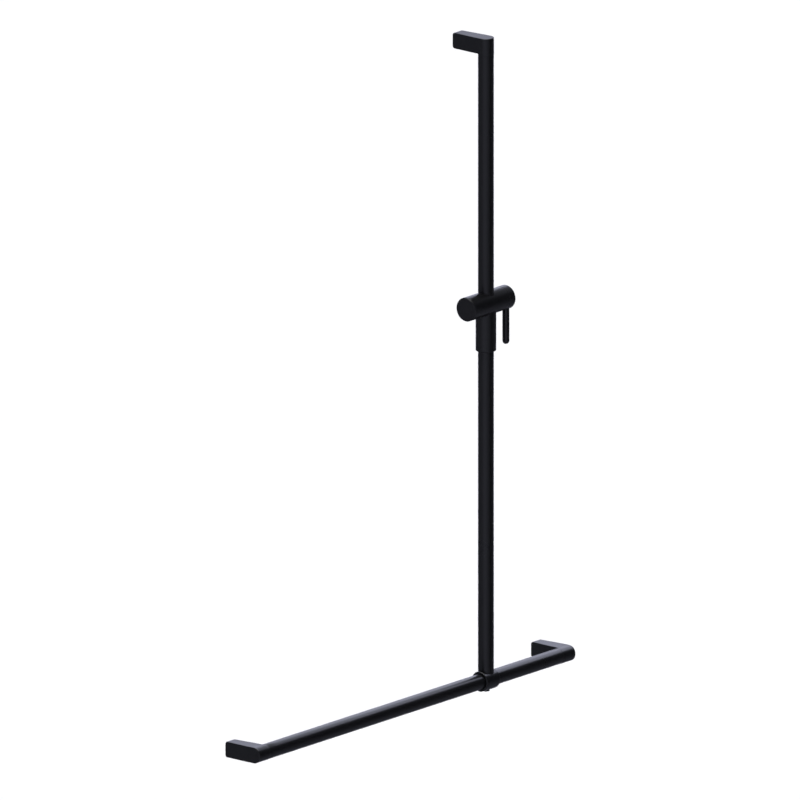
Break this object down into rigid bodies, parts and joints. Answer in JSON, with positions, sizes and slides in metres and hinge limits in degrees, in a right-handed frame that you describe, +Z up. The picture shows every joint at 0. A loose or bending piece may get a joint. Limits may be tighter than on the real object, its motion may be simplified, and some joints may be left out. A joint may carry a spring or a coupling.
{
  "type": "shower grab rail",
  "caption": "Wall-mounted shower grab rail: a horizontal rail with a leg at each end, a riser rail on a sliding collar with a top leg, and a slider clamped by a lever.",
  "frame": {"origin": "centre of the left leg's wall face, at the mouth of its stud bore", "axes": "+X along the grab rail to its right end, +Y into the wall, +Z up along the riser"},
  "size_m": [0.9586, 0.094, 1.2758],
  "materials": {
    "black_coat": "satin black powder coat",
    "black_plastic": "matte moulded",
    "black_steel": "blackened screw",
    "steel": "machined",
    "bare_aluminium": "turned",
    "brass": "turned",
    "black_rubber": "moulded"
  },
  "bodies": {
    "rail": {"rail_tube": "black_coat", "left_elbow": "black_coat", "right_elbow": "black_coat", "left_wall_block": "steel", "right_wall_block": "steel", "left_grub_screw": "steel", "right_grub_screw": "steel"},
    "riser": {"riser_tube": "black_coat", "top_elbow": "black_coat", "top_wall_block": "steel", "top_grub_screw": "steel", "tee_collar": "black_coat", "collar_liner": "black_plastic", "riser_spigot": "bare_aluminium", "riser_screw": "steel", "collar_set_screw": "black_steel", "clamp_pad": "brass"},
    "slider": {"slider_body": "black_coat", "slider_bush": "black_plastic", "left_end_cap": "black_coat", "brake_shoe": "black_rubber", "disc_springs": "steel"},
    "lever": {"lever_hub": "black_coat", "lever_rod": "black_coat", "clamp_spindle": "brass", "hub_screw": "steel", "hub_cap": "black_plastic"}
  },
  "joints": [
    {"name": "riser_shift", "type": "slide", "parent": "rail", "child": "riser", "axis": [1, 0, 0], "range_m": [-0.649, 0.197]},
    {"name": "slider_travel", "type": "slide", "parent": "riser", "child": "slider", "axis": [0, 0, 1], "range_m": [-0.622, 0.46]},
    {"name": "lever_turn", "type": "hinge", "parent": "slider", "child": "lever", "pos_m": [0.743, -0.071, 0.735], "axis": [-1, 0, 0], "range_deg": [0, 75]}
  ]
}
